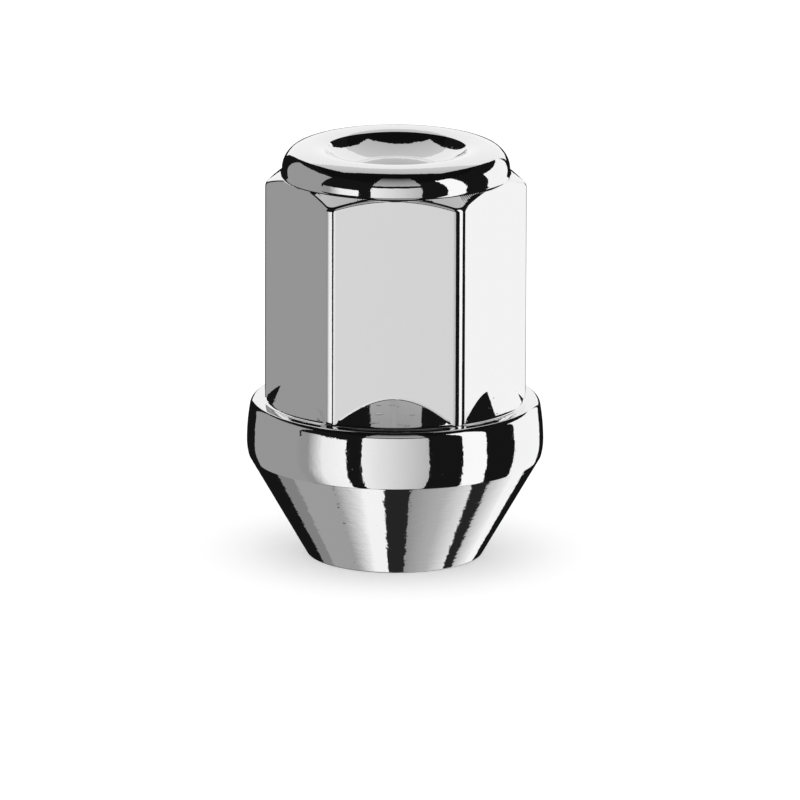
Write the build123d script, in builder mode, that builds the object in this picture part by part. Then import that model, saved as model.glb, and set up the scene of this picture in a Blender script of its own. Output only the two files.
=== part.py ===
from build123d import *
import math
import os

# Wheel nut, closed at the top, with a flange and a conical seat below its wrench hex.
# Lengths are millimetres and angles are degrees.
# The origin is the centre of the seat end, where the stud goes in, and +Z runs up the nut's axis.
# One flat of the hex faces -Y.

# Whole nut
overall_height = 34.5

# Wrench hex
across_flats = 19.0
hex_edge_round = 1.2
hex_top_slope = 33.0
blank_allowance = 1.0

# Rolled rim round the closed top: a short wall, a rounded side and a flatter crown,
# which meet in a faint edge
rim_inset = 0.1
rim_height = 2.3
rim_wall_height = 0.35
rim_round = 1.9
rim_edge_angle = 58.0
rim_foot_flare = 0.15
crown_round = 3.0
crown_width = 2.6

# Round dish in the closed top
dish_floor_radius = 3.55
dish_depth = 1.78
dish_wall_radius = 6.4

# Shoulder that runs out of the flats onto the flange
shoulder_height = 2.18
shoulder_half_angle = 27.0
shoulder_foot_flare = 0.25

# Flange
flange_belly_overhang = 1.47
flange_top_inset = 0.24
flange_thickness = 4.84
flange_belly_height = 1.38
flange_top_round = 0.75
flange_seat_chamfer = 0.25

# Conical seat
seat_included_angle = 60.0
seat_end_radius = 7.24
seat_height = 8.23
seat_end_chamfer = 0.15

# Threaded blind hole, M12 x 1.5
thread_radius = 6.0
thread_pitch = 1.5
lead_in_radius = 6.5
thread_end_gap = 3.0
drill_point_angle = 118.0
closed_end_thickness = 3.0

# Hex: the flats stand at the apothem, and the rounded corners reach a little less than a sharp one
apothem = across_flats / 2
hex_corner_radius = apothem / math.cos(math.radians(30))
rounded_corner_radius = hex_corner_radius - hex_edge_round * (1 / math.cos(math.radians(30)) - 1)

# Heights up the axis
flange_top = seat_height + flange_thickness
rim_foot = overall_height - rim_height
rim_wall_top = rim_foot + rim_wall_height
dish_floor = overall_height - dish_depth

# Rim: it passes inside a wrench socket, so it is a little narrower than the hex across its flats.
# The side's arc ends at the edge, and the crown's arc runs on from there to the dish's mouth,
# with its highest point at the overall height.
rim_radius = apothem - rim_inset
rim_edge_radius = rim_radius - rim_round * (1 - math.cos(math.radians(rim_edge_angle)))
rim_edge_height = rim_wall_top + rim_round * math.sin(math.radians(rim_edge_angle))
crown_centre_height = overall_height - crown_round
crest_radius = rim_edge_radius - math.sqrt(crown_round**2 - (rim_edge_height - crown_centre_height) ** 2)
mouth_radius = rim_edge_radius - crown_width
mouth_height = crown_centre_height + math.sqrt(crown_round**2 - (crest_radius - mouth_radius) ** 2)

# Seat and flange
seat_slope = math.tan(math.radians(seat_included_angle / 2))
seat_top_radius = seat_end_radius + seat_height * seat_slope
flange_belly_radius = rounded_corner_radius + flange_belly_overhang
flange_top_radius = flange_belly_radius - flange_top_inset
flange_belly = seat_height + flange_belly_height

# Shoulder: a cone that meets the middle of each flat at its top and ends inside the hex
shoulder_slope = math.tan(math.radians(shoulder_half_angle))
shoulder_foot_radius = apothem + shoulder_height * shoulder_slope
shoulder_top_radius = apothem / 2
shoulder_top = flange_top + (shoulder_foot_radius - shoulder_top_radius) / shoulder_slope

# Hole: the thread is cut in a drilled hole of its inner size, which runs on past it.
# The thread's ridges stand five eighths of the height of a sharp sixty degree thread.
thread_ridge_height = thread_pitch * math.cos(math.radians(30)) * 5 / 8
drill_radius = thread_radius - thread_ridge_height
drill_point = drill_radius / math.tan(math.radians(drill_point_angle / 2))
drill_depth = dish_floor - closed_end_thickness - drill_point
thread_depth = drill_depth - thread_end_gap
lead_in_depth = lead_in_radius - thread_radius

# The hex's turned blank stands wider than its sharp corners, so that only the hex trims it
blank_radius = hex_corner_radius + blank_allowance
blank_shoulder = rim_foot - (blank_radius - rim_radius) * math.tan(math.radians(hex_top_slope))

with BuildPart() as wheel_nut:
    # Turned blank of the upper half: sloping hex top, rolled rim and dish
    with BuildSketch(Plane.XZ) as blank_section:
        with BuildLine():
            Polyline(
                (0, dish_floor),
                (0, seat_height),
                (blank_radius, seat_height),
                (blank_radius, blank_shoulder),
                (rim_radius, rim_foot),
            )
            Line((rim_radius, rim_foot), (rim_radius, rim_wall_top))
            RadiusArc((rim_radius, rim_wall_top), (rim_edge_radius, rim_edge_height), -rim_round)
            RadiusArc((rim_edge_radius, rim_edge_height), (mouth_radius, mouth_height), -crown_round)
            RadiusArc((mouth_radius, mouth_height), (dish_floor_radius, dish_floor), dish_wall_radius)
            Line((dish_floor_radius, dish_floor), (0, dish_floor))
        make_face()
        chamfer(blank_section.vertices().sort_by_distance((rim_radius, rim_foot))[0], length=rim_foot_flare)
    revolve(axis=Axis.Z)

    # Six flats, with rounded edges between them, cut the blank to the wrench hex
    with BuildSketch(Plane.XY.offset(seat_height)):
        hexagon = RegularPolygon(radius=apothem, side_count=6, major_radius=False)
        fillet(hexagon.vertices(), radius=hex_edge_round)
    extrude(amount=overall_height - seat_height, mode=Mode.INTERSECT)

    # Turned lower half: conical seat, barrelled flange and the shoulder that leaves an arch on each flat
    with BuildSketch(Plane.XZ) as lower_section:
        with BuildLine():
            Polyline((0, shoulder_top), (0, 0), (seat_end_radius, 0), (seat_top_radius, seat_height))
            TangentArc((flange_belly_radius, flange_belly), (seat_top_radius, seat_height), tangent=(0, -1))
            TangentArc((flange_belly_radius, flange_belly), (flange_top_radius, flange_top), tangent=(0, 1))
            Polyline(
                (flange_top_radius, flange_top),
                (shoulder_foot_radius, flange_top),
                (shoulder_top_radius, shoulder_top),
                (0, shoulder_top),
            )
        make_face()
        flange_edge = lower_section.vertices().sort_by_distance((flange_top_radius, flange_top))[0]
        fillet(flange_edge, radius=flange_top_round)
        chamfered_corners = [
            ((seat_end_radius, 0), seat_end_chamfer),
            ((seat_top_radius, seat_height), flange_seat_chamfer),
            ((shoulder_foot_radius, flange_top), shoulder_foot_flare),
        ]
        for corner, corner_chamfer in chamfered_corners:
            chamfer(lower_section.vertices().sort_by_distance(corner)[0], length=corner_chamfer)
    revolve(axis=Axis.Z)

    # Threaded blind hole from the seat end, with its lead-in cone and the drill's point
    with BuildSketch(Plane.XZ):
        with BuildLine():
            Polyline(
                (0, 0),
                (lead_in_radius, 0),
                (thread_radius, lead_in_depth),
                (thread_radius, thread_depth),
                (drill_radius, thread_depth + thread_radius - drill_radius),
                (drill_radius, drill_depth),
                (0, drill_depth + drill_point),
                close=True,
            )
        make_face()
    revolve(axis=Axis.Z, mode=Mode.SUBTRACT)

wheel_nut.part.label = "wheel_nut"

os.makedirs("parts", exist_ok=True)
export_step(wheel_nut.part, "parts/wheel_nut.step")
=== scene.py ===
import math

import bmesh
import bpy
from mathutils import Matrix, Vector


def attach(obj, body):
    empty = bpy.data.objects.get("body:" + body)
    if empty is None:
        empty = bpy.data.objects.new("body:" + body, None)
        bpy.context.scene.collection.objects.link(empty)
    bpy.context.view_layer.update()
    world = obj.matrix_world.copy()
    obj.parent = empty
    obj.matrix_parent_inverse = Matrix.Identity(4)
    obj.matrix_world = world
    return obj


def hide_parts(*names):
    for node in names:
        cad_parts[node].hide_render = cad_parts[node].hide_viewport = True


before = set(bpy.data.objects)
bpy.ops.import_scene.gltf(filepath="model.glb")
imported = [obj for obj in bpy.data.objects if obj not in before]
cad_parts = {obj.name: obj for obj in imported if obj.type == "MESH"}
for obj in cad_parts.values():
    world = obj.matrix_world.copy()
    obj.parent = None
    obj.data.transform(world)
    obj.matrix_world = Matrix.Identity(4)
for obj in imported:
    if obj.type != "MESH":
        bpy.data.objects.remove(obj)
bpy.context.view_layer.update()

# The nut is drawn in millimetres and brought to metres at the end.
# Its axis is Z, the seat end is at height 0, and one flat of the hex faces the camera, towards -Y.
MILLIMETRE = 0.001
TURN_STEPS = 288
HOLE_TURN_STEPS = 96

# The photograph is taken from this many degrees to the right of straight in front.
# The camera and the cards are turned by it together.
CAMERA_AZIMUTH = 0.57

# Sizes of the nut. They are the solid's own, but for the seat's top, the flange's top edge and the
# shoulder's foot, which follow the photograph more closely. A pair is (radius, height).
APOTHEM = 9.5
HEX_CORNER_RADIUS = APOTHEM / math.cos(math.radians(30))
HEX_EDGE_ROUND = 1.2
HEX_TOP_SLOPE = 33
SEAT_HEIGHT = 8.23
SEAT_END_RADIUS = 7.24
SEAT_TOP = 8.4
SEAT_TOP_RADIUS = SEAT_END_RADIUS + SEAT_TOP * math.tan(math.radians(30))
FLANGE_BELLY = 9.61
FLANGE_BELLY_RADIUS = 12.254
FLANGE_TOP = 13.07
FLANGE_TOP_RADIUS = 11.9
FLANGE_TOP_ROUND = 0.75
FLANGE_ROUND_CENTRE = 12.415
SHOULDER_SLOPE = 27
SHOULDER_FOOT_RADIUS = 10.7
SHOULDER_TOP = 24.747
SHOULDER_TOP_RADIUS = 4.75
TOP = 34.5
RIM_RADIUS = 9.4
RIM_FOOT = 32.2
RIM_FOOT_FLARE = 0.18
RIM_WALL_TOP = 32.55
RIM_ROUND = 1.9
RIM_EDGE = (8.507, 34.161)
CROWN_ROUND = 3.0
CREST_RADIUS = 7.121
MOUTH = (5.907, 34.243)
DISH_WALL_ROUND = 6.4
DISH_FLOOR_RADIUS = 3.55
DISH_FLOOR = 32.72
BLANK_RADIUS = HEX_CORNER_RADIUS + 1.0

# Small roundings of the corners
HEX_TOP_EASE = 0.52
ARCH_EASE = 0.6
RIM_FOOT_EASE = 0.3
MOUTH_EASE = 0.15
DISH_FLOOR_EASE = 0.4
SEAT_END_EASE = 0.2
SEAT_TOP_EASE = 0.4
FLANGE_EDGE_EASE = 0.1
SHOULDER_FOOT_EASE = 0.38

# Thread M12 x 1.5
THREAD_RADIUS = 6.0
THREAD_PITCH = 1.5
DRILL_RADIUS = 5.188
THREAD_DEPTH = 23.603
DRILL_DEPTH = 26.603
DRILL_POINT = 3.117
LEAD_IN_RADIUS = 6.5


# ---------- Drawing and turning ----------

class Section:
    """Half of a turned section, drawn with a pen: x is the radius and z is the height."""

    def __init__(self, radius, height):
        self.bm = bmesh.new()
        self.tip = self.bm.verts.new((radius, 0, height))

    def line(self, radius, height):
        end = self.bm.verts.new((radius, 0, height))
        self.bm.edges.new((self.tip, end))
        self.tip = end

    def arc(self, radius, height, centre, steps):
        """An arc from the pen to a point, about a centre given as (radius, height)."""
        hub = Vector((centre[0], 0, centre[1]))
        start = self.tip.co - hub
        end = Vector((radius, 0, height)) - hub
        sweep = math.atan2(start.z * end.x - start.x * end.z, start.dot(end))
        spun = bmesh.ops.spin(
            self.bm, geom=[self.tip], cent=hub, axis=(0, 1, 0), angle=sweep, steps=steps
        )
        self.tip = next(item for item in spun["geom_last"] if isinstance(item, bmesh.types.BMVert))

    def round_corner(self, radius, height, size, steps=4):
        """Rounds the drawn corner nearest to a point to the given radius."""
        spot = Vector((radius, 0, height))
        corner = min(self.bm.verts, key=lambda vert: (vert.co - spot).length)
        ahead, behind = [(edge.other_vert(corner).co - corner.co) for edge in corner.link_edges]
        reach = size / math.tan(ahead.angle(behind) / 2)
        bmesh.ops.bevel(
            self.bm, geom=[corner], offset=reach, affect="VERTICES", segments=steps,
            profile=0.5, material=-1,
        )

    def turn(self, steps=TURN_STEPS):
        """Turns the section right round the axis into a closed body."""
        self.bm.verts.ensure_lookup_table()
        bmesh.ops.spin(
            self.bm, geom=self.bm.verts[:] + self.bm.edges[:], cent=(0, 0, 0), axis=(0, 0, 1),
            angle=math.tau, steps=steps, use_merge=True,
        )
        close_up(self.bm)
        return self.bm


def close_up(bm):
    bmesh.ops.remove_doubles(bm, verts=bm.verts, dist=0.00002)
    bmesh.ops.recalc_face_normals(bm, faces=bm.faces)


def bend_radius(rise, run):
    """The radius of an arc that starts level with its run and has risen by rise at the end of it."""
    return (rise * rise + run * run) / (2 * rise)


def round_edges(bm, edges, radius, turn, steps):
    """Rounds edges at which the surface turns by that many degrees to the given radius."""
    bmesh.ops.bevel(
        bm, geom=edges, offset=radius * math.tan(math.radians(turn / 2)), affect="EDGES",
        segments=steps, profile=0.5, material=-1,
    )


def edges_where_walls_meet(bm, lean):
    """The edges between an upright face and a face whose normal rises by lean."""
    tolerance = 0.02
    found = []
    for edge in bm.edges:
        if len(edge.link_faces) == 2:
            upright, leaning = sorted(edge.link_faces, key=lambda face: abs(face.normal.z))
            if abs(upright.normal.z) < tolerance and abs(leaning.normal.z - lean) < tolerance:
                found.append(edge)
    return found


def object_from(name, bm):
    mesh = bpy.data.meshes.new(name)
    bm.to_mesh(mesh)
    bm.free()
    piece = bpy.data.objects.new(name, mesh)
    bpy.context.scene.collection.objects.link(piece)
    return piece


def joined_by(operation, body, tool):
    """The body with the tool united with it, taken from it, or trimming it. Both are bmeshes."""
    body_object = object_from("body_blank", body)
    tool_object = object_from("tool_blank", tool)
    cut = body_object.modifiers.new("cut", "BOOLEAN")
    cut.operation = operation
    cut.solver = "EXACT"
    cut.object = tool_object
    shaped = body_object.evaluated_get(bpy.context.evaluated_depsgraph_get())
    result = bmesh.new()
    result.from_mesh(shaped.to_mesh())
    shaped.to_mesh_clear()
    for spent in (body_object, tool_object):
        mesh = spent.data
        bpy.data.objects.remove(spent)
        bpy.data.meshes.remove(mesh)
    return result


# ---------- The nut ----------

def slope_height(radius):
    """Height of the slope that the tops of the flats are cut along."""
    return RIM_FOOT - (radius - RIM_RADIUS) * math.tan(math.radians(HEX_TOP_SLOPE))


def sloped_blank():
    """The bar turned to the slope at the top of the hex. The slope runs on in under the rim."""
    under_rim = RIM_RADIUS - 0.6
    section = Section(0, SEAT_HEIGHT)
    section.line(BLANK_RADIUS, SEAT_HEIGHT)
    section.line(BLANK_RADIUS, slope_height(BLANK_RADIUS))
    section.line(under_rim, slope_height(under_rim))
    section.line(0, slope_height(under_rim))
    return section.turn()


def six_flats():
    """A six-sided bar with rounded edges and its flats the wrench size apart."""
    bm = bmesh.new()
    bmesh.ops.create_circle(bm, cap_ends=True, segments=6, radius=HEX_CORNER_RADIUS)
    widest = max(bm.verts, key=lambda vert: vert.co.x)
    square_on = Matrix.Rotation(-math.atan2(widest.co.y, widest.co.x), 3, "Z")
    bmesh.ops.rotate(bm, verts=bm.verts, matrix=square_on)
    bmesh.ops.translate(bm, verts=bm.verts, vec=(0, 0, SEAT_HEIGHT + 1))
    grown = bmesh.ops.extrude_face_region(bm, geom=bm.faces[:])
    lifted = [item for item in grown["geom"] if isinstance(item, bmesh.types.BMVert)]
    bmesh.ops.translate(bm, verts=lifted, vec=(0, 0, TOP + 2 - SEAT_HEIGHT))
    uprights = [edge for edge in bm.edges if abs(edge.verts[0].co.z - edge.verts[1].co.z) > 1]
    round_edges(bm, uprights, HEX_EDGE_ROUND, turn=60, steps=12)
    close_up(bm)
    return bm


def wrench_hex():
    """The blank cut to its six flats, with the long curved edges at their tops rounded."""
    bm = joined_by("INTERSECT", sloped_blank(), six_flats())
    close_up(bm)
    curves = edges_where_walls_meet(bm, math.cos(math.radians(HEX_TOP_SLOPE)))
    round_edges(bm, curves, HEX_TOP_EASE, turn=90 - HEX_TOP_SLOPE, steps=7)
    close_up(bm)
    return bm


def closed_top():
    """The rolled rim and the round dish, with a foot that flares out onto the slope.

    The flare ends a hair below the slope, so that the two cross and join cleanly."""
    inside_hex = RIM_FOOT - 0.9
    flare = RIM_RADIUS + RIM_FOOT_FLARE
    hair = 0.004
    section = Section(0, inside_hex)
    section.line(RIM_RADIUS - 0.5, inside_hex)
    section.line(flare, slope_height(flare) - hair)
    section.line(RIM_RADIUS, RIM_FOOT)
    section.line(RIM_RADIUS, RIM_WALL_TOP)
    section.arc(*RIM_EDGE, (RIM_RADIUS - RIM_ROUND, RIM_WALL_TOP), steps=20)
    section.arc(*MOUTH, (CREST_RADIUS, TOP - CROWN_ROUND), steps=20)
    section.arc(DISH_FLOOR_RADIUS, DISH_FLOOR, dish_wall_centre(), steps=14)
    section.line(0, DISH_FLOOR)
    section.round_corner(DISH_FLOOR_RADIUS, DISH_FLOOR, DISH_FLOOR_EASE)
    section.round_corner(*MOUTH, MOUTH_EASE, steps=5)
    section.round_corner(RIM_RADIUS, RIM_FOOT, RIM_FOOT_EASE, steps=8)
    return section.turn()


def dish_wall_centre():
    """The centre of the arc from the dish's mouth to its floor, as (radius, height)."""
    run, drop = MOUTH[0] - DISH_FLOOR_RADIUS, MOUTH[1] - DISH_FLOOR
    chord = math.hypot(run, drop)
    stand_off = math.sqrt(DISH_WALL_ROUND ** 2 - chord ** 2 / 4)
    return (
        (MOUTH[0] + DISH_FLOOR_RADIUS) / 2 - stand_off * drop / chord,
        (MOUTH[1] + DISH_FLOOR) / 2 + stand_off * run / chord,
    )


def flange_and_seat():
    """The turned lower half: conical seat, barrelled flange, and the shoulder that meets the flats."""
    section = Section(0, 0)
    section.line(SEAT_END_RADIUS, 0)
    section.line(SEAT_TOP_RADIUS, SEAT_TOP)
    lower = bend_radius(FLANGE_BELLY_RADIUS - SEAT_TOP_RADIUS, FLANGE_BELLY - SEAT_TOP)
    lower_centre = (FLANGE_BELLY_RADIUS - lower, FLANGE_BELLY)
    section.arc(FLANGE_BELLY_RADIUS, FLANGE_BELLY, lower_centre, steps=8)
    edge = flange_top_edge(section)
    section.line(SHOULDER_FOOT_RADIUS, FLANGE_TOP)
    section.line(SHOULDER_TOP_RADIUS, SHOULDER_TOP)
    section.line(0, SHOULDER_TOP)
    section.round_corner(SEAT_END_RADIUS, 0, SEAT_END_EASE, steps=12)
    section.round_corner(edge, FLANGE_TOP, FLANGE_EDGE_EASE, steps=3)
    section.round_corner(SEAT_TOP_RADIUS, SEAT_TOP, SEAT_TOP_EASE, steps=5)
    section.round_corner(SHOULDER_FOOT_RADIUS, FLANGE_TOP, SHOULDER_FOOT_EASE, steps=10)
    return section.turn()


def flange_top_edge(section):
    """Draws the flange's side up from its belly and the round at its top. Gives the top's radius.

    The side and the round meet smoothly, and the flange's top cuts the round before it is level."""
    side = bend_radius(FLANGE_BELLY_RADIUS - FLANGE_TOP_RADIUS, FLANGE_TOP - FLANGE_BELLY)
    side_centre = (FLANGE_BELLY_RADIUS - side, FLANGE_BELLY)
    rise = FLANGE_ROUND_CENTRE - FLANGE_BELLY
    reach = math.sqrt((side - FLANGE_TOP_ROUND) ** 2 - rise ** 2)
    round_centre = (side_centre[0] + reach, FLANGE_ROUND_CENTRE)
    ratio = side / (side - FLANGE_TOP_ROUND)
    section.arc(side_centre[0] + reach * ratio, side_centre[1] + rise * ratio, side_centre, steps=8)
    edge = round_centre[0] + math.sqrt(FLANGE_TOP_ROUND ** 2 - (FLANGE_TOP - FLANGE_ROUND_CENTRE) ** 2)
    section.arc(edge, FLANGE_TOP, round_centre, steps=14)
    return edge


def soften_arches(bm):
    """Eases the inside corner where each flat runs down onto the shoulder."""
    close_up(bm)
    clear_of_flange = FLANGE_TOP + 0.3
    arches = [
        edge for edge in edges_where_walls_meet(bm, math.sin(math.radians(SHOULDER_SLOPE)))
        if min(vert.co.z for vert in edge.verts) > clear_of_flange
    ]
    round_edges(bm, arches, ARCH_EASE, turn=SHOULDER_SLOPE, steps=5)


def thread_tap():
    """A tap of the thread's form: one pitch of the thread, screwed up the axis and cut to length."""
    steps = 48
    start = -0.7
    first = -2 * THREAD_PITCH
    turns = math.ceil((THREAD_DEPTH - first) / THREAD_PITCH) + 2
    flank = (THREAD_RADIUS - DRILL_RADIUS) * math.tan(math.radians(30))
    root = THREAD_PITCH / 4
    crest = THREAD_PITCH / 8
    section = Section(DRILL_RADIUS, first)
    section.line(DRILL_RADIUS, first + root)
    section.line(THREAD_RADIUS, first + root + flank)
    section.line(THREAD_RADIUS, first + root + flank + crest)
    section.line(DRILL_RADIUS, first + THREAD_PITCH)
    bm = section.bm
    bmesh.ops.spin(
        bm, geom=bm.verts[:] + bm.edges[:], cent=(0, 0, 0), axis=(0, 0, 1),
        dvec=(0, 0, THREAD_PITCH / steps), angle=math.tau * turns, steps=steps * turns,
    )
    bmesh.ops.remove_doubles(bm, verts=bm.verts, dist=0.0005)
    for height, side in ((start, -1), (THREAD_DEPTH, 1)):
        cut = bmesh.ops.bisect_plane(
            bm, geom=bm.verts[:] + bm.edges[:] + bm.faces[:], dist=0.00001,
            plane_co=(0, 0, height), plane_no=(0, 0, side), clear_outer=True,
        )
        rim = [item for item in cut["geom_cut"] if isinstance(item, bmesh.types.BMEdge)]
        bmesh.ops.edgeloop_fill(bm, edges=rim)
    bmesh.ops.recalc_face_normals(bm, faces=bm.faces)
    return bm


def lead_in():
    """The countersink that eases the thread's start: a cone of 45 degrees a side."""
    start = -1
    tip_radius = DRILL_RADIUS - 0.4
    section = Section(0, start)
    section.line(LEAD_IN_RADIUS - start, start)
    section.line(tip_radius, LEAD_IN_RADIUS - tip_radius)
    section.line(0, LEAD_IN_RADIUS - tip_radius)
    return section.turn(HOLE_TURN_STEPS)


def drill():
    """The drilled hole that the thread is cut in, with the drill's cone at its end."""
    start = -1
    radius = DRILL_RADIUS + 0.01
    section = Section(0, start)
    section.line(radius, start)
    section.line(radius, DRILL_DEPTH)
    section.line(0, DRILL_DEPTH + DRILL_POINT)
    return section.turn(HOLE_TURN_STEPS)


def even_out_shading(piece):
    """Smooth shading that keeps the flats flat: large faces lead, and real edges stay sharp."""
    sharp = math.radians(12)
    mesh = piece.data
    bm = bmesh.new()
    bm.from_mesh(mesh)
    for face in bm.faces:
        face.smooth = True
    for edge in bm.edges:
        edge.smooth = edge.calc_face_angle(0) < sharp
    bm.to_mesh(mesh)
    bm.free()
    weighting = piece.modifiers.new("weighting", "WEIGHTED_NORMAL")
    weighting.mode = "FACE_AREA"
    weighting.weight = 50
    weighting.keep_sharp = True
    shaped = piece.evaluated_get(bpy.context.evaluated_depsgraph_get())
    finished = bpy.data.meshes.new_from_object(shaped)
    piece.modifiers.clear()
    piece.data = finished
    finished.name = piece.name
    bpy.data.meshes.remove(mesh)


def wheel_nut():
    """The whole nut: hex and closed top, joined with the turned lower half, then bored and threaded."""
    bm = joined_by("UNION", wrench_hex(), closed_top())
    bm = joined_by("UNION", flange_and_seat(), bm)
    soften_arches(bm)
    for tool in (thread_tap(), lead_in(), drill()):
        bm = joined_by("DIFFERENCE", bm, tool)
    hair = 0.0001
    bmesh.ops.remove_doubles(bm, verts=bm.verts, dist=hair)
    bmesh.ops.dissolve_degenerate(bm, edges=bm.edges, dist=hair)
    bmesh.ops.scale(bm, verts=bm.verts, vec=(MILLIMETRE,) * 3)
    piece = object_from("plated_wheel_nut", bm)
    even_out_shading(piece)
    piece.data.materials.append(chrome_plate())
    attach(piece, "root")
    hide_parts("wheel_nut")
    return piece


# ---------- Finishes ----------

# How strongly each kind of mark shows in the plate's relief, and how deep the relief is in metres
GRAIN_STRENGTH = 0.16
TURNING_MARK_STRENGTH = 0.35
DENT_STRENGTH = 0.9
PIT_STRENGTH = 0.4
RELIEF_DEPTH = 0.00001

# The plate's brightness and roughness outside and in the hole
PLATE_TONE = 0.89
HOLE_TONE = 0.5
PLATE_ROUGHNESS = (0.02, 0.055)
ADDED_HOLE_ROUGHNESS = 0.32


def grey(tone):
    return (tone, tone, tone, 1)


class Finish:
    """A new material, with a short way to place and wire each kind of node that the finishes use."""

    def __init__(self, name):
        self.material = bpy.data.materials.new(name)
        self.material.use_nodes = True
        self.nodes = self.material.node_tree.nodes
        self.links = self.material.node_tree.links

    def calculated(self, operation, first, second):
        """A sum on two values, each a socket or a plain number."""
        sum_node = self.nodes.new("ShaderNodeMath")
        sum_node.operation = operation
        for socket, value in zip(sum_node.inputs, (first, second)):
            if isinstance(value, (int, float)):
                socket.default_value = value
            else:
                self.links.new(value, socket)
        return sum_node.outputs["Value"]

    def plus(self, first, second):
        return self.calculated("ADD", first, second)

    def minus(self, first, second):
        return self.calculated("SUBTRACT", first, second)

    def times(self, first, second):
        return self.calculated("MULTIPLY", first, second)

    def on_vector(self, operation, vector, by=None):
        """A sum on a vector, alone or with a plain vector."""
        sum_node = self.nodes.new("ShaderNodeVectorMath")
        sum_node.operation = operation
        self.links.new(vector, sum_node.inputs[0])
        if by:
            sum_node.inputs[1].default_value = by
        return sum_node.outputs

    def blend(self, factor, low, high):
        """A value that goes from low to high with the factor."""
        ramp = self.nodes.new("ShaderNodeMapRange")
        self.links.new(factor, ramp.inputs["Value"])
        ramp.inputs["To Min"].default_value = low
        ramp.inputs["To Max"].default_value = high
        return ramp.outputs["Result"]

    def step(self, value, start, end):
        """0 where the value is at start and 1 where it is at end, with a soft step between."""
        ramp = self.nodes.new("ShaderNodeMapRange")
        ramp.interpolation_type = "SMOOTHSTEP"
        self.links.new(value, ramp.inputs["Value"])
        ramp.inputs["From Min"].default_value = start
        ramp.inputs["From Max"].default_value = end
        return ramp.outputs["Result"]

    def squeezed(self, place, scale):
        """The place squeezed along each axis, which stretches a pattern that is read from it."""
        mapping = self.nodes.new("ShaderNodeMapping")
        mapping.inputs["Scale"].default_value = scale
        self.links.new(place, mapping.inputs["Vector"])
        return mapping.outputs["Vector"]

    def noise(self, place, scale, detail):
        texture = self.nodes.new("ShaderNodeTexNoise")
        texture.inputs["Scale"].default_value = scale
        texture.inputs["Detail"].default_value = detail
        self.links.new(place, texture.inputs["Vector"])
        return texture.outputs["Fac"]


def height_and_radius(plate, place):
    """How far up the nut's axis and how far out from it the surface is, in metres."""
    axes = plate.nodes.new("ShaderNodeSeparateXYZ")
    plate.links.new(place, axes.inputs["Vector"])
    level = plate.on_vector("MULTIPLY", place, (1, 1, 0))["Vector"]
    return axes.outputs["Z"], plate.on_vector("LENGTH", level)["Value"]


def on_hex(plate, height):
    """1 on the six flats, and 0 below and above them."""
    above_flange = plate.step(height, 0.0133, 0.0143)
    below_rim = plate.step(height, 0.0322, 0.0312)
    return plate.times(above_flange, below_rim)


def on_shoulder(plate, height, radius):
    """1 on the cone of the shoulder, above the flange.

    Each place is followed down the cone's slope to height 0, where the cone would have one radius."""
    slope = math.tan(math.radians(SHOULDER_SLOPE))
    cone_radius = (SHOULDER_FOOT_RADIUS + FLANGE_TOP * slope) * MILLIMETRE
    followed_down = plate.plus(radius, plate.times(height, slope))
    off_cone = plate.calculated("ABSOLUTE", plate.minus(followed_down, cone_radius), 0.0)
    near_cone = plate.step(off_cone, 0.00010, 0.00005)
    above_flange = plate.step(height, 0.0130, 0.0132)
    return plate.times(near_cone, above_flange)


def in_hole(plate, height, radius):
    """1 on the thread and the drilled wall, and 0 outside."""
    near_axis = plate.step(radius, 0.0067, 0.0064)
    below_top = plate.step(height, 0.0285, 0.0275)
    return plate.times(near_axis, below_top)


def swell_and_grain(plate, place, height):
    """The plate's own unevenness, fainter on the flats."""
    grain = plate.times(plate.noise(place, scale=5200, detail=1), GRAIN_STRENGTH)
    uneven = plate.plus(grain, plate.noise(place, scale=900, detail=2))
    return plate.times(uneven, plate.blend(on_hex(plate, height), 1.0, 0.55))


def turning_marks(plate, place, height):
    """The fine marks that the turning tool left round the cone of the seat."""
    on_seat = plate.step(height, 0.0087, 0.0080)
    lines = plate.noise(plate.squeezed(place, (0.12, 0.12, 1)), scale=5200, detail=1)
    return plate.times(plate.times(lines, on_seat), TURNING_MARK_STRENGTH)


def short_dents(plate, place, height, radius):
    """The short level dents on the cone of the shoulder."""
    spots = plate.noise(plate.squeezed(place, (0.2, 0.2, 1)), scale=4600, detail=1)
    dents = plate.times(plate.step(spots, 0.62, 0.76), on_shoulder(plate, height, radius))
    return plate.times(dents, DENT_STRENGTH)


def pits(plate, place):
    """A few small pits, each in the middle of a cell of a cell pattern."""
    cells = plate.nodes.new("ShaderNodeTexVoronoi")
    cells.inputs["Scale"].default_value = 1500
    plate.links.new(place, cells.inputs["Vector"])
    chance = plate.nodes.new("ShaderNodeSeparateColor")
    plate.links.new(cells.outputs["Color"], chance.inputs["Color"])
    middle = plate.step(cells.outputs["Distance"], 0.09, 0.02)
    chosen = plate.step(chance.outputs["Red"], 0.85, 0.87)
    return plate.times(plate.times(middle, chosen), PIT_STRENGTH)


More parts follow.
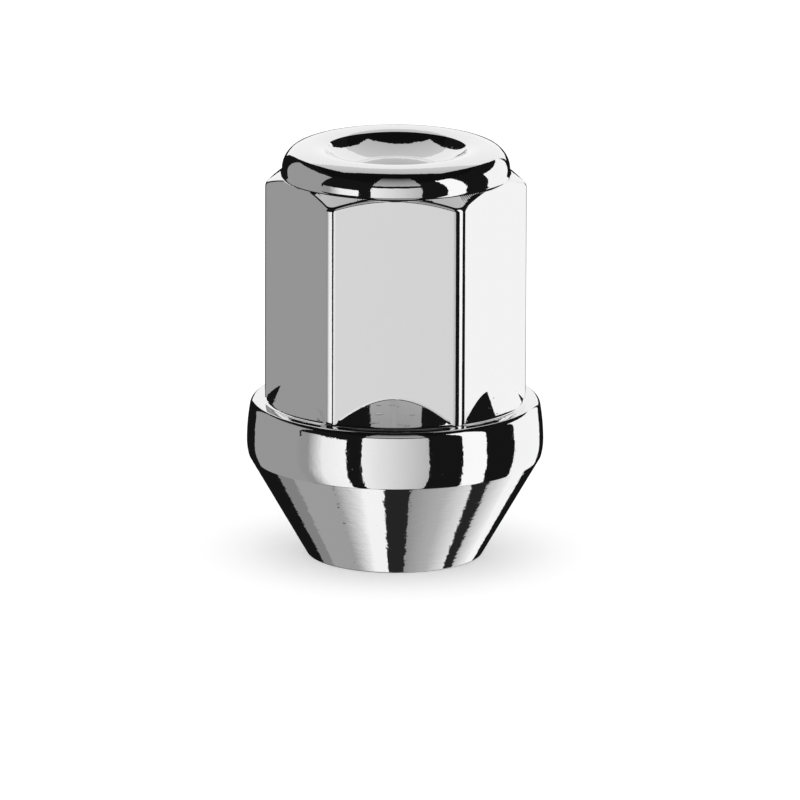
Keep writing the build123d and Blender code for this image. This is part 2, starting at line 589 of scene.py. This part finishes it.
def chrome_plate():
    """Mirror-bright plate, with its small marks as relief, and thinner, duller plate in the hole."""
    plate = Finish("chrome_plate")
    shader = plate.nodes["Principled BSDF"]
    shader.inputs["Metallic"].default_value = 1.0
    place = plate.nodes.new("ShaderNodeTexCoord").outputs["Object"]
    height, radius = height_and_radius(plate, place)

    marks = plate.minus(turning_marks(plate, place, height), short_dents(plate, place, height, radius))
    relief = plate.plus(swell_and_grain(plate, place, height), marks)
    relief = plate.minus(relief, pits(plate, place))
    bump = plate.nodes.new("ShaderNodeBump")
    bump.inputs["Distance"].default_value = RELIEF_DEPTH
    plate.links.new(relief, bump.inputs["Height"])
    plate.links.new(bump.outputs["Normal"], shader.inputs["Normal"])

    hole = in_hole(plate, height, radius)
    polish = plate.blend(plate.noise(place, scale=700, detail=2), *PLATE_ROUGHNESS)
    dull = plate.times(hole, ADDED_HOLE_ROUGHNESS)
    plate.links.new(plate.plus(polish, dull), shader.inputs["Roughness"])
    plate.links.new(plate.blend(hole, PLATE_TONE, HOLE_TONE), shader.inputs["Base Color"])
    return plate.material


def card_finish(name, tones):
    """A lit card, of one tone, or of two that run from its foot (or first side) to its head."""
    card = Finish(name)
    card.nodes.clear()
    glow = card.nodes.new("ShaderNodeEmission")
    glow.inputs["Color"].default_value = grey(tones[0])
    out = card.nodes.new("ShaderNodeOutputMaterial")
    card.links.new(glow.outputs["Emission"], out.inputs["Surface"])
    if len(tones) > 1:
        place = card.nodes.new("ShaderNodeUVMap")
        place.uv_map = "card"
        split = card.nodes.new("ShaderNodeSeparateXYZ")
        card.links.new(place.outputs["UV"], split.inputs["Vector"])
        card.links.new(card.blend(split.outputs["X"], *tones), glow.inputs["Color"])
    return card.material


# ---------- Cards ----------
# Apart from the nut itself, the mirror finish shows only these: a dark tent, and the light cards in it
# that make the stripes. Lengths are in metres. Azimuth 0 is towards the camera and 90 is to its right.

CARD_WALL = 0.50
CARD_BASE = -0.48
CARD_FOOT = (0.335, CARD_BASE)


def set_in_studio(name, bm, tones):
    """Turns a card with the camera and finishes it. It shows in the metal alone, and shades nothing."""
    bmesh.ops.rotate(bm, verts=bm.verts, matrix=Matrix.Rotation(math.radians(CAMERA_AZIMUTH), 3, "Z"))
    card = object_from(name, bm)
    card.data.materials.append(card_finish(name, tones))
    card.visible_camera = False
    card.visible_diffuse = False
    card.visible_transmission = False
    card.visible_volume_scatter = False
    card.visible_shadow = False


def round_card(name, azimuths, foot, head, tones, across=False):
    """A card bent round the axis, from one azimuth to another and from foot to head.

    foot and head are (radius, height). Two tones run from foot to head, or across from the first
    azimuth to the second."""
    bm = bmesh.new()
    ends = [bm.verts.new((radius, 0, height)) for radius, height in (foot, head)]
    edge = bm.edges.new(ends)
    bmesh.ops.rotate(bm, verts=ends, matrix=Matrix.Rotation(math.radians(azimuths[0] - 90), 3, "Z"))
    width = azimuths[1] - azimuths[0]
    layer = bm.loops.layers.uv.new("card")
    bmesh.ops.spin(
        bm, geom=ends + [edge], cent=(0, 0, 0), axis=(0, 0, 1), angle=math.radians(width),
        steps=max(2, math.ceil(width / 3)),
    )
    for face in bm.faces:
        for loop in face.loops:
            co = loop.vert.co
            if across:
                turn = math.degrees(math.atan2(co.x, -co.y))
                share = ((turn - azimuths[0]) % 360) / width
                # A corner a hair before the first azimuth comes out as nearly a whole turn
                share = 0 if share > 1.2 else share
            else:
                reach = Vector((co.xy.length - foot[0], co.z - foot[1]))
                share = reach.length / math.dist(foot, head)
            loop[layer].uv = (share, 0)
    set_in_studio(name, bm, tones)


def flat_card(name, corners, tones):
    """A flat card through four corners. Two tones run from its first side to its third."""
    bm = bmesh.new()
    verts = [bm.verts.new(corner) for corner in corners]
    face = bm.faces.new(verts)
    layer = bm.loops.layers.uv.new("card")
    for loop, share in zip(face.loops, (0, 0, 1, 1)):
        loop[layer].uv = (share, 0)
    set_in_studio(name, bm, tones)


def around(azimuth, radius, height):
    turn = math.radians(azimuth)
    return Vector((radius * math.sin(turn), -radius * math.cos(turn), height))


def dark_tent():
    """A drum that closes the whole set, so that the metal is dark wherever it mirrors no card."""
    for name, start, end, tone in (
        ("tent_wall", (1.0, -1.0), (1.0, 1.0), 0.008),
        ("tent_roof", (1.0, 1.0), (0.0, 1.0), 0.005),
        ("tent_base", (0.0, -1.0), (1.0, -1.0), 0.02),
    ):
        round_card(name, (-180, 180), start, end, (tone,))


def cards_on_the_left():
    """A grey wall, and beside it a low strip that brightens towards the camera."""
    near, far, wall_head = -0.097, 0.60, 0.42
    wall = (
        (-CARD_WALL, near, CARD_BASE),
        (-CARD_WALL, far, CARD_BASE),
        (-CARD_WALL, far, wall_head),
        (-CARD_WALL, near, wall_head),
    )
    flat_card("grey_wall_left", wall, (0.335,))
    strip_head = (0.48, 0.042)
    for name, azimuths, head, tones in (
        ("grey_wall_edge", (-80, -77), (0.5, 0.0), (0.32,)),
        ("grey_strip_left", (-77, -70.4), strip_head, (0.31,)),
        ("fading_strip_left", (-70.4, -57.2), strip_head, (0.31, 0.92)),
        ("white_strip_left", (-57.2, -37.2), strip_head, (0.92, 1.02)),
    ):
        round_card(name, azimuths, CARD_FOOT, head, tones, across=len(tones) > 1)


def cards_in_front():
    """One card, brighter to its left, and over it two that lean in and fade."""
    low, middle, high = (CARD_WALL, 0.305), (0.318, 0.415), (0.18, 0.535)
    round_card("front_card", (-25, 26), CARD_FOOT, (CARD_WALL, 0.203), (0.93, 0.51), across=True)
    round_card("front_card_low_top", (-24.5, 26), low, middle, (0.44, 0.28))
    round_card("front_card_high_top", (-24.5, 26), middle, high, (0.28, 0.02))


def cards_on_the_right():
    """A white strip whose head leans left, a white wall, and below both a skirt that leans right."""
    skirt_top, lap = -0.2, 0.02
    foot = (CARD_WALL, skirt_top - lap)
    strip, strip_head, strip_hem = (53.6, 75), (48.5, 70), (66.6, 94)
    wall, wall_hem = (105, 150.5), (116, 150.5)
    round_card("white_strip_right", strip, foot, (CARD_WALL, 0.01), (1.06,))
    lower = [around(azimuth, CARD_WALL, 0) for azimuth in strip]
    upper = [around(azimuth, CARD_WALL, 0.52) for azimuth in reversed(strip_head)]
    flat_card("white_strip_right_top", (*lower, *upper), (1.06,))
    round_card("white_wall_right", wall, foot, (CARD_WALL, 0.235), (1.0,))
    for name, top, hem, reach, bottom, tone in (
        ("white_strip_right_skirt", strip, strip_hem, 0.37, CARD_BASE, 1.06),
        ("white_wall_right_skirt", wall, wall_hem, 0.5, -0.38, 1.0),
    ):
        upper = [around(azimuth, CARD_WALL, skirt_top) for azimuth in top]
        lower = [around(azimuth, reach, bottom) for azimuth in reversed(hem)]
        flat_card(name, (*upper, *lower), (tone,))


def softbox():
    """One long light that leans over the nut from behind, brighter behind than above."""
    behind = (Vector((-0.254, 0.775, 0.03)), Vector((0.328, 0.775, 0.03)))
    above = (Vector((-0.206, 0.071, 0.42)), Vector((0.168, 0.047, 0.42)))
    middle = tuple(back.lerp(front, 0.70) for back, front in zip(behind, above))
    flat_card("softbox_behind", (*behind, *middle[::-1]), (0.99, 0.90))
    flat_card("softbox_above", (*middle, *above[::-1]), (0.64, 0.50))


def sheets_under_the_seat():
    """The level sheets, low down, that the steep cone of the seat mirrors."""
    level, inner = CARD_BASE - 0.01, 0.004
    for name, azimuths, reach, tones in (
        ("under_dark_left", (-137, -121), 0.8, (0.24,)),
        ("under_grey_left", (-121, -84), 0.8, (0.365,)),
        ("under_fading_left", (-84, -50), 0.27, (0.36, 1.0)),
        ("under_white_left", (-50, -18.5), 0.27, (1.0,)),
        ("under_grey_right", (26, 74), 0.27, (0.305, 0.47)),
        ("under_fading_right", (74, 109), 0.33, (0.47, 0.90)),
        ("under_fading_far_right", (115.5, 138), 0.8, (0.55, 0.98)),
        ("under_white_far_right", (138, 150), 0.8, (1.0,)),
    ):
        round_card(name, azimuths, (inner, level), (reach, level), tones, across=len(tones) > 1)


# ---------- Studio ----------

def pale_floor():
    """A plain pale floor that takes the nut's shadow. The metal mirrors the sheets in its place."""
    bm = bmesh.new()
    bmesh.ops.create_grid(bm, x_segments=1, y_segments=1, size=4)
    floor = object_from("pale_floor", bm)
    paint = Finish("pale_floor")
    shader = paint.nodes["Principled BSDF"]
    shader.inputs["Base Color"].default_value = grey(0.86)
    shader.inputs["Roughness"].default_value = 1.0
    shader.inputs["Specular IOR Level"].default_value = 0.0
    shader.inputs["Emission Color"].default_value = grey(0.3)
    path = paint.nodes.new("ShaderNodeLightPath")
    paint.links.new(path.outputs["Is Camera Ray"], shader.inputs["Emission Strength"])
    floor.data.materials.append(paint.material)
    floor.visible_glossy = False


def white_surround():
    world = bpy.data.worlds.new("white_surround")
    world.use_nodes = True
    background = world.node_tree.nodes["Background"]
    background.inputs["Color"].default_value = grey(1.0)
    background.inputs["Strength"].default_value = 1.0
    bpy.context.scene.world = world


def camera():
    """A long lens, a little above the nut, as the photograph was taken."""
    elevation = math.radians(14.4)
    distance = 1.25
    aside = Matrix.Rotation(math.radians(CAMERA_AZIMUTH), 3, "Z")
    target = aside @ Vector((0.395, 0, 12.87)) * MILLIMETRE
    data = bpy.data.cameras.new("camera")
    data.sensor_width = 36
    data.lens = 680.9
    data.clip_start = 0.01
    eye = bpy.data.objects.new("camera", data)
    eye.location = target + distance * (aside @ Vector((0, -math.cos(elevation), math.sin(elevation))))
    tip = Matrix.Rotation(math.pi / 2 - elevation, 3, "X")
    roll = Matrix.Rotation(math.radians(0.2), 3, "Z")
    eye.rotation_euler = (aside @ tip @ roll).to_euler()
    bpy.context.scene.collection.objects.link(eye)
    bpy.context.scene.camera = eye


wheel_nut()
dark_tent()
cards_on_the_left()
cards_in_front()
cards_on_the_right()
softbox()
sheets_under_the_seat()
pale_floor()
white_surround()
camera()
bpy.context.scene.view_settings.view_transform = "Standard"
